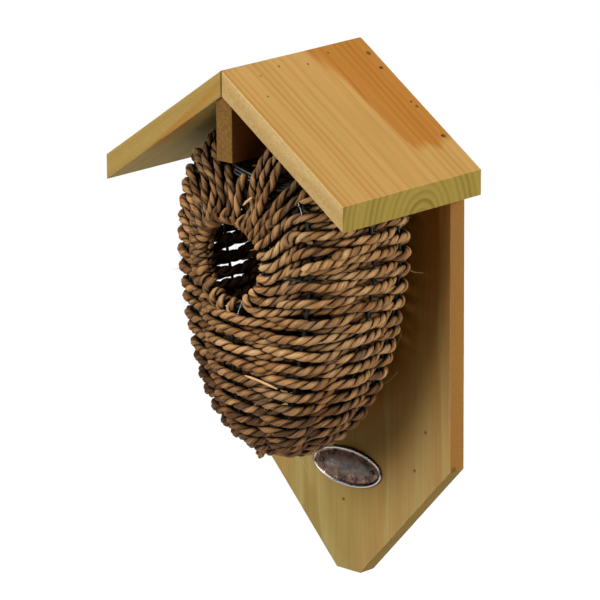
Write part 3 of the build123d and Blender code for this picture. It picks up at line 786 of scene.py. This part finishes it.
def sideRow(row):
    # one row beside the entrance, from its right rim round the back to its left rim
    phi = np.linspace(firstRib, lastRib, 700)
    s = lengthAtRow(firstCount + row + phi / math.tau) + wander(phi, row) + leftRear(phi, row)
    s = s + frontTilt(s, phi)
    ends = []
    for right in (True, False):
        beside = (row - 1) // 2 < rim["pairs"]
        ends.append(rimEnd(row, right) if beside else fanEnd(row, right, s[0 if right else -1]))
    leftLine, leftNormals = ends[1]
    return chained([ends[0], middle(s, phi, weave(phi, row)), (leftLine[::-1], leftNormals[::-1])])


def smoothLine(places, count):
    # a cubic through the places, its way at each one half the step between its neighbours
    p = np.asarray(places, float)
    ways = np.gradient(p, axis=0)
    at = np.linspace(0, len(p) - 1, count)
    i = np.minimum(at.astype(int), len(p) - 2)
    return hermite(p[i], ways[i], p[i + 1], ways[i + 1], (at - i)[:, None])


def skinLine(places, lifts, count=40):
    # a line on the pouch through places (degrees round it, drop under the ridge), lifts from end to end
    line = smoothLine(places, count)
    return middle(lengthAtLevel(ridgeZ - line[:, 1]), np.radians(line[:, 0]), np.linspace(*lifts, count))


# Loose ends on top of the rows right of the entrance, the end of the bottom, two ends tucked in behind
looseEnds = [skinLine(((40.5, 108), (48.2, 106.7), (57.7, 104.4), (66.5, 103.1), (76, 102)), (1.9, 0.8)),
             skinLine(((56.7, 101.1), (66.7, 99.3), (77.6, 98), (86, 97)), (1.9, 0.6)),
             skinLine(((33.7, 95.0), (34.2, 91.5), (36.5, 89.2), (40.5, 90.3), (46, 92.5)), (1.7, 0.6))]
bottomEnd = np.linspace((-1.0, -78.0, ridgeZ - 226.0), (-5.0, -82.5, ridgeZ - 231.5), 12)
looseEnds.append((bottomEnd, np.tile((0.3, -0.8, -0.5), (len(bottomEnd), 1))))
looseEnds.append(skinLine(((-26, 158.6), (-12, 160.0), (2, 161.4)), (-2.1, -2.1)))
looseEnds.append(skinLine(((-18, 176.4), (-5, 177.5), (8, 178.6)), (-2.1, -2.1)))
rowCount = int(rowAtLevel(pouch["topRow"]) - firstCount)
rows = [sideRow(row) for row in range(1, rowCount)]
ropePiece("sideRopeLow", rows[:rowCount // 2] + looseEnds, ("side_rope",), 23)
ropePiece("sideRopeHigh", rows[rowCount // 2:], ("side_rope",), 24)
print("side rope:", len(rows), "rows")

# Fan of upright ropes above the entrance: degrees on the rim, share of the swing, places as (x, drop)
fan = {
    "size": 0.9,
    # a darker tone than the body's 0.5: painted shade of the brow under the roof
    "tone": 0.2,
    "topBend": 2.6,  # mm, round the top wire
    "tail": 9.0,     # mm, down behind it
    "outer": (
        (139, 1.0, ((-18.6, 82.1), (-19.6, 74.0), (-20.8, 66.2), (-26.0, 60.4), (-33.5, 56.4))),
        (129, 1.2, ((-11.7, 79.2), (-10.5, 70.2), (-14.3, 62.9), (-20.8, 56.3), (-25.7, 48.1),
                    (-28.0, 43.0))),
        (116, 1.0, ((-4.8, 76.2), (-6.3, 67.2), (-7.8, 59.5), (-11.0, 52.8), (-17.0, 47.0))),
        (107, 0.2, ((-3.6, 75.1), (-1.7, 66.6), (0.6, 59.1))),
        (97, 1.1, ((2.5, 79.1), (4.1, 69.7), (1.7, 62.5), (0.2, 58.5))),
        (79, 1.1, ((8.4, 78.3), (9.0, 70.0), (9.8, 63.0))),
        (68, 0.5, ((15.0, 82.0), (17.4, 75.0), (17.6, 66.9), (17.8, 59.8), (20.0, 52.9), (21.6, 45.5),
                   (22.5, 40.0))),
        (60, 0.7, ((20.0, 80.0), (22.2, 70.2), (22.6, 63.2), (24.0, 55.7), (26.0, 49.5), (27.5, 44.5))),
        (53, 1.4, ((22.6, 78.0), (26.6, 68.6), (28.8, 62.5), (30.0, 55.4), (31.5, 50.5))),
        (45, 1.0, ((23.7, 85.3), (29.9, 77.0), (35.3, 69.1), (39.2, 64.0), (41.2, 60.2))),
        (37, 1.0, ((27.6, 85.8), (33.3, 79.8), (39.1, 74.3), (42.3, 69.7), (45.0, 66.7))),
    ),
    "inner": ((148, (-42, 65)), (142, (-34, 60)), (134, (-24, 56)), (122, (-15, 54)), (102, (-6, 58)),
              (88, (5, 62)), (73, (14, 62))),
}
fullHook = np.linspace(math.pi * 0.95, 0, 20)[:-1]  # from behind the entrance wire to its front


def fanRope(theta, lift, places):
    # From inside the rim round the entrance wire, up over the brow, over the top wire and down inside
    theta = math.radians(theta)
    ringDrop = ridgeZ - pouch["ringZ"] - pouch["ringRadius"] * math.sin(theta)
    line = smoothLine(((pouch["ringRadius"] * math.cos(theta), ringDrop),) + places, 70)
    s = lengthAtLevel(ridgeZ - line[:, 1])
    side = math.copysign(1.0, lift)
    swing = np.interp(np.linspace(0, 1, len(s)), (0, 0.15, 1), (side, lift, lift))
    line, normals = middle(s, phiAtSide(s, line[:, 0]), swing)
    over = np.linspace(0, math.pi * 0.95, 14)[1:, None]
    way = unit(line[-1] - line[-2])
    overNormals = np.cos(over) * normals[-1] + np.sin(over) * way
    bend = line[-1] + fan["topBend"] * (overNormals - normals[-1])
    tail = bend[-1] - np.linspace(0, fan["tail"], 7)[1:, None] * way
    return chained([hook(theta, side, fullHook), (line, normals), (bend, overNormals),
                    (tail, np.tile(-normals[-1], (len(tail), 1)))])


fanRopes = [fanRope(*place) for place in fan["outer"]]
fanRopes += [fanRope(theta, -1.0, (top,)) for theta, top in fan["inner"]]
ropePiece("browRope", fanRopes, ("brow_rope",), 25, fan["size"], fan["tone"])

# Short upright loops below the entrance, tucked behind the first full row
sill = {"thetas": (-138, -121, -104, -87), "drop": 145.0, "size": 0.9}


def sillRope(theta):
    # From inside the rim round the entrance wire and down behind the first full row
    s0, phi0 = ringPoint(theta, pouch["ringRadius"])
    t = np.linspace(0, 1, 30)
    s = s0 + (lengthAtLevel(ridgeZ - sill["drop"]) - s0) * t
    return chained([hook(theta, 1.0, fullHook), middle(s, np.full_like(s, phi0), np.cos(math.pi * t))])


sillRopes = [sillRope(math.radians(theta)) for theta in sill["thetas"]]
ropePiece("sillRope", sillRopes, ("sill_rope",), 26, sill["size"])
print("brow and sill ropes:", len(fanRopes) + len(sillRopes))


# Wire frame

wire = {
    "radius": 0.95,
    "sides": 8,
    "topDrop": 53.8,       # mm under the ridge, three top wires
    "topSag": 9.0,         # mm, how far they hang to both sides
    "topSlope": 0.265,     # fall to the sides beside the middle
    "topReach": 0.93,      # their half width, as a share of the pouch's
    "topStep": 1.9,        # mm between them
    "topRadius": 0.8075,
    "bottomLength": 16.0,  # mm from the middle of the bottom to the wires' ends
    "bottomRing": 20.0,    # and to the bottom ring
    "bottomLift": -0.8,    # share of the swing at which it lies
    "topLift": 0.2,        # and its step from top wire to top wire
    "endRadius": 0.6,
    "tieRadius": 0.38,
}


def tube(points, radius, sides, closed=False):
    # A round section carried along a path, its frame taken from one steady direction
    points = np.asarray(points, float)
    if closed:
        tangent = unit(np.roll(points, -1, 0) - np.roll(points, 1, 0))
    else:
        tangent = unit(np.gradient(points, axis=0))
    steady = np.array([0.31, 0.17, 0.93]) if abs(tangent[:, 2]).mean() < 0.6 else np.array([0.9, -0.4, 0.1])
    a = unit(np.cross(tangent, steady))
    b = np.cross(tangent, a)
    turn = (np.arange(sides) / sides * math.tau)[None, :, None]
    count = len(points)
    radius = np.broadcast_to(np.asarray(radius, float), (count,))[:, None, None]
    rings = points[:, None] + radius * (np.cos(turn) * a[:, None] + np.sin(turn) * b[:, None])
    if closed:
        faces = (gridFaces(count + 1, sides) % (count * sides)).tolist()
    else:
        faces = closedGrid(count, sides)
    return rings.reshape(-1, 3), faces


def joined(parts):
    # several point and face lists as one
    faces = []
    start = 0
    for points, own in parts:
        faces += [[i + start for i in face] for face in own]
        start += len(points)
    return np.vstack([points for points, _ in parts]), faces


def spottedMaterial(name, cells, tones, rough, metallic):
    # one tone drifting into another over small spots, so many to a metre
    material, add = newMaterial(name)
    place = add("TexCoord").outputs["Object"]
    spots = add("TexNoise", place, cells, 2.0)
    colour = add("ValToRGB", spots, stops=tones)
    finishMaterial(add, {"Base Color": colour, "Roughness": rough, "Metallic": metallic})
    return material


def topWire(phi):
    # length at which the top wires run: highest under the beam, sagging to both sides under the roof
    x = pouch["halfWidth"] * wire["topReach"] * np.abs(np.sin(phi))
    sag = wire["topSag"] * np.tanh(wire["topSlope"] * x / wire["topSag"])
    return lengthAtLevel(ridgeZ - wire["topDrop"] - sag)


def hoop(s, phi, lift, radius):
    # a closed wire through lengths and angles on the wires' surface
    return tube(middle(s, phi, np.full(len(phi), lift))[0], radius, wire["sides"], closed=True)


# Green-black plastic-coated garden wire: smooth, slightly glossy, with a little dust in spots of 2.5 mm
coated = spottedMaterial("coatedWire", 400.0, [(0.35, "#131A17"), (0.75, "#34403B")], 0.38, 0.0)
ringLow, ringHigh = lengthAtLevel(pouch["ringZ"] + pouch["ringRadius"] * np.array([-1, 1]))
ribNames = ("front_right", "right", "rear_right", "back_right", "back", "back_left", "rear_left", "left",
            "front_left")
# the front one is cut by the entrance
ribs = [("front_low", 0.0, wire["bottomLength"], ringLow), ("front_high", 0.0, ringHigh, topWire(0.0))]
for name, phi in zip(ribNames, np.radians(pouch["ribs"][1:])):
    ribs.append((name, phi, wire["bottomLength"], topWire(phi)))
for name, phi, low, high in ribs:
    s = np.linspace(low, high, 90)
    rib = tube(middle(s, np.full_like(s, phi), np.zeros_like(s))[0], wire["radius"], wire["sides"])
    putMesh("wire_" + name, *rib, coated, "frame_wire", ("rib_" + name,))

circle = np.linspace(0, math.tau, 96, endpoint=False)
entranceHoop = hoop(*ringPoint(circle, pouch["ringRadius"]), 0.0, wire["radius"])
putMesh("entranceRing", *entranceHoop, coated, "frame_wire", ("entrance_ring",))
topHoops = [hoop(topWire(circle) - wire["topStep"] * i, circle, wire["topLift"] * (i - 1), wire["topRadius"])
            for i in range(3)]
putMesh("topRing", *joined(topHoops), coated, "frame_wire", ("top_ring",))
bottomHoop = hoop(np.full_like(circle, wire["bottomRing"]), circle, wire["bottomLift"], wire["radius"])
putMesh("bottomRing", *bottomHoop, coated, "frame_wire", ("bottom_ring",))
tieLines = [skinLine(((41.1, 69.5), (42.1, 73.2), (42.6, 77.5)), (1.2, 1.9)),
            skinLine(((40.0, 71.5), (43.5, 74.5), (46.5, 77.0)), (1.7, 1.2)),
            skinLine(((7.2, 140), (8, 133.9), (9.8, 129)), (1.6, 0.6))]
ties = joined([tube(line, wire["tieRadius"], 6) for line, _ in tieLines])
# Drawn steel wire: bright grey metal, a little stained in spots of 1 mm
tieSteel = spottedMaterial("tieWire", 900.0, [(0.0, "#C9CCCE"), (1.0, "#3A332B")], 0.25, 1.0)
putMesh("tieWires", *ties, tieSteel, "frame_wire")
endLine = skinLine(((31.5, 113.8), (38.9, 115.8), (50.3, 116.7)), (1.3, 0.9))[0]
putMesh("wireEnd", *tube(endLine, wire["endRadius"], 8), coated, "frame_wire")
print("wire frame made")

# Stray fibres of the rope: short curves that leave its outer side, and two broad straws
stray = {
    "seed": 31,
    "count": 170,
    "length": (3.0, 8.5),    # mm
    "radius": (0.08, 0.18),  # mm at the root
    "taper": 0.35,           # share of that at the tip
    "root": 2.3,             # mm from the rope's middle
    "spread": 0.35,          # of their ways
    "outward": 0.5,
    "curl": 0.45,
    "droop": 0.25,           # back towards the rope
    "strawRadius": 0.75,
    "tint": 0.95,
}
draw = np.random.default_rng(stray["seed"])
lines = [(bodyLine, bodyNormals)] + rows
allPoints, allNormals = chained(lines)
allWays = np.vstack([unit(np.gradient(line, axis=0)) for line, _ in lines])
pick = draw.choice(len(allPoints), stray["count"], replace=False)
outward = allNormals[pick]
lean = allWays[pick] * draw.choice([-1, 1], (stray["count"], 1)) + stray["outward"] * outward
lean = unit(lean + draw.normal(0, stray["spread"], (stray["count"], 3)))
reach = draw.uniform(*stray["length"], (stray["count"], 1))
curl = draw.normal(0, stray["curl"], (stray["count"], 3)) - stray["droop"] * outward
along = np.linspace(0, 1, 9)[:, None, None]
fibreLines = allPoints[pick] + stray["root"] * outward + reach * (along * lean + along ** 2 * curl)
fibreSizes = draw.uniform(*stray["radius"], stray["count"])
fibreShape = np.linspace(1, stray["taper"], len(along))
fibreParts = [tube(line, fibreShape * size, 5) for line, size in zip(fibreLines.swapaxes(0, 1), fibreSizes)]
strawLines = [skinLine(((13, 173.9), (22.3, 176.3), (32.9, 180.4)), (2.0, 1.7))[0],
              skinLine(((12.2, 74.9), (14.9, 72.2), (18, 69.6)), (2.2, 2.4))[0]]
strawAt = np.linspace(0, 1, len(strawLines[0]))
strawShape = stray["strawRadius"] * np.interp(strawAt, (0, 0.2, 0.8, 1), (0.4, 1, 1, 0.5))
fibreParts += [tube(line, strawShape, 8) for line in strawLines]
points, faces = joined(fibreParts)
putMesh("strayFibres", points, faces, sedge, "rope", tint=np.full(len(points), stray["tint"]))
print("stray fibres:", len(fibreParts))


# Oval plate and fasteners

plate = {
    "halfWidth": 27.0,
    "halfHeight": 12.0,
    "drop": 253.5,        # mm under the ridge
    "points": 128,
    "rim": [(0.0, 0.0), (0.0, 0.55), (0.15, 1.0), (0.55, 1.35), (1.0, 1.5), (1.5, 1.4), (1.9, 1.1),
            (2.2, 0.8)],  # inset, height
    "field": 0.8,         # mm, height of the field at its edge
    "fieldInsets": (3.0, 5.0, 8.0, 10.5, 11.7),
    "fieldMiddle": 11.9,  # mm, inset of the middle
    "fieldReach": 9.8,    # mm from there to the edge
    "dome": 0.25,
    "slit": 1.0,          # mm, half length of the last ring
}


def plateMesh():
    # An oval carried inwards: the wall and round rim, then a sunk field whose height grows by the dome times
    # one less the square of the way from the middle, down to a last ring that is nearly closed
    count = plate["points"]
    turn = np.linspace(0, math.tau, count, endpoint=False)
    inset = np.array(plate["fieldInsets"])
    outwards = (plate["fieldMiddle"] - inset) / plate["fieldReach"]
    height = plate["field"] + plate["dome"] * (1 - outwards ** 2)
    insets, heights = np.vstack([plate["rim"], np.stack([inset, height], -1)]).T[..., None]
    across = plate["halfWidth"] - insets
    across[-1] = plate["slit"]
    x = across * np.cos(turn)
    y = np.broadcast_to(-thick - heights, x.shape)
    z = ridgeZ - plate["drop"] + np.sin(turn) * (plate["halfHeight"] - insets)
    return np.stack([x, y, z], -1).reshape(-1, 3), closedGrid(len(x), count)


def plateMaterial():
    # Pressed tin plate: worn grey rim, darker sunk field with brown stains of 6 mm and dents of 3 mm
    material, add = newMaterial("pressedTin")
    place = add("TexCoord").outputs["Object"]
    parts = add("SeparateXYZ", place)
    height = add("MapRange", parts.outputs["Y"], (-thick - 0.95) * mm, (-thick - 1.35) * mm)
    blotch = add("TexNoise", place, 160.0, 4.0, 0.65)
    stains = [(0.36, "#2E2622"), (0.5, "#6A5347"), (0.6, "#856656"), (0.72, "#B4ABA2")]
    field = add("ValToRGB", blotch, stops=stains)
    colour = add("Mix.RGBA", height, field, "#B2B1AD")
    dull = add("MapRange", blotch, 0.3, 0.7, 0.42, 0.22)
    dents = add("TexNoise", place, 320.0, 2.0)
    bump = add("Bump", Strength=0.2, Distance=0.0006, Height=dents)
    finishMaterial(add, {"Base Color": colour, "Roughness": dull, "Normal": bump, "Metallic": 1.0})
    return material


putMesh("ovalPlate", *plateMesh(), plateMaterial(), "plate", ("name_plate",))
# Cut steel brads and turned pins: grey metal, dull on the brads, stained in spots of 1 mm
nailSteel = spottedMaterial("nailSteel", 900.0, [(0.0, "#8E8A84"), (1.0, "#3A332B")], 0.45, 1.0)
pinSteel = spottedMaterial("pinSteel", 900.0, [(0.0, "#6A5F55"), (1.0, "#3A332B")], 0.25, 1.0)
for name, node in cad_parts.items():
    if not node.hide_render:
        node.data.materials.clear()
        node.data.materials.append(pinSteel if name == "plate_pins" else nailSteel)
print("plate and fasteners made")


# Stage, light and camera

stage = {
    "floorDrop": 0.2,   # metres under the part
    "floorHalf": 0.62,  # metres
    "squares": 8,
    "base": 0.55,       # grey of the floor
    "glow": 0.75,       # white that is seen in it besides
    "soft": 0.01,       # light of the world
    "lampMiddle": np.array([0, -0.055, -0.04]),  # metres, what the lamps turn to
    "lampDistance": 1.5,
}


def seenDirectly(add, rays):
    # 1 where any of these rays of the light path meets the surface
    path = add("LightPath")
    seen = path.outputs[rays[0]]
    for ray in rays[1:]:
        seen = add("Math.MAXIMUM", seen, path.outputs[ray])
    return seen


def floorMaterial():
    # Pale studio floor; the camera, gloss and glass see a little more white in it
    material, add = newMaterial("studioFloor")
    seen = seenDirectly(add, ("Is Camera Ray", "Is Glossy Ray", "Is Transmission Ray"))
    glow = add("Math.MULTIPLY", seen, stage["glow"])
    finishMaterial(add, {"Base Color": (stage["base"],) * 3 + (1,), "Roughness": 0.9,
                         "Emission Color": (1, 1, 1, 1), "Emission Strength": glow})
    return material


steps = stage["squares"] + 1
floorX, floorY = np.meshgrid(*[np.linspace(-1, 1, steps) * stage["floorHalf"]] * 2)
floorZ = np.full(steps ** 2, cadLow.z - stage["floorDrop"])
floorPoints = np.stack([floorX.ravel(), floorY.ravel(), floorZ], -1)
corner = (np.arange(steps - 1)[:, None] * steps + np.arange(steps - 1)).ravel()
floorMesh = bpy.data.meshes.new("floor")
floorFaces = np.stack([corner, corner + 1, corner + steps + 1, corner + steps], -1)
floorMesh.from_pydata(floorPoints.tolist(), [], floorFaces.tolist())
floorMesh.materials.append(floorMaterial())
floor = addObject("floor", floorMesh)

world = bpy.data.worlds.new("studio")
bpy.context.scene.world = world
world.use_nodes = True
world.node_tree.nodes.clear()
addWorld = partial(addNode, world.node_tree)
soft = addWorld("Background", (1, 1, 1, 1), stage["soft"])
white = addWorld("Background", (1, 1, 1, 1), 1.0)
direct = seenDirectly(addWorld, ("Is Camera Ray", "Is Transmission Ray"))
both = addWorld("MixShader", direct, soft, white)
addWorld("OutputWorld", both)

# Big soft boxes: front left, right side, overhead; degrees as seen from the object, metres, watts
lamps = {
    "frontBox": {"azimuth": -12, "elevation": 19, "size": 0.8, "power": 17.0},
    "rightBox": {"azimuth": 106, "elevation": 14, "size": 0.9, "power": 13.8},
    "topBox": {"azimuth": 30, "elevation": 80, "size": 0.8, "power": 14.0},
}


def wayTo(azimuth, elevation):
    # unit vector from the object, azimuth 0 in front and 90 on the right
    level = math.cos(elevation)
    return np.array([math.sin(azimuth) * level, -math.cos(azimuth) * level, math.sin(elevation)])


for name, lamp in lamps.items():
    box = bpy.data.lights.new(name, "AREA")
    box.size = lamp["size"]
    box.energy = lamp["power"]
    light = addObject(name, box)
    azimuth = math.radians(lamp["azimuth"])
    elevation = math.radians(lamp["elevation"])
    light.location = wayTo(azimuth, elevation) * stage["lampDistance"] + stage["lampMiddle"]
    light.rotation_euler = (math.pi / 2 - elevation, 0, azimuth)
print("stage and lamps made")

# Camera fitted to the board corners: long lens, mm and degrees in the frame
view = {
    "target": (0, -54.19, ridgeZ - 116.13),
    "azimuth": 43.15,
    "elevation": 15.58,
    "roll": -0.34,
    "distance": 2782.0,
    "shift": (1.67, -27.2),
    "focalPixels": 4897.2,
    "imagePixels": 600,
    "sensor": 36,
}
azimuth, elevation, roll = (math.radians(view[key]) for key in ("azimuth", "elevation", "roll"))
back = wayTo(azimuth, elevation)
level = np.array([math.cos(azimuth), math.sin(azimuth), 0])
upright = np.cross(back, level)
right = level * math.cos(roll) + upright * math.sin(roll)
up = upright * math.cos(roll) - level * math.sin(roll)
aside, above = view["shift"]
eye = np.array(view["target"]) + aside * right + above * up + view["distance"] * back
lens = bpy.data.cameras.new("camera")
lens.sensor_width = view["sensor"]
lens.lens = view["focalPixels"] / view["imagePixels"] * view["sensor"]
lens.clip_start = 0.1
lens.clip_end = 100
camera = addObject("camera", lens)
# the matrix by its columns: right, up, back and place
camera.matrix_world = [[*column, 0] for column in (right, up, back)] + [[*(eye * mm), 1]]
bpy.context.scene.camera = camera
bpy.context.scene.view_settings.view_transform = "Standard"

bpy.context.view_layer.update()
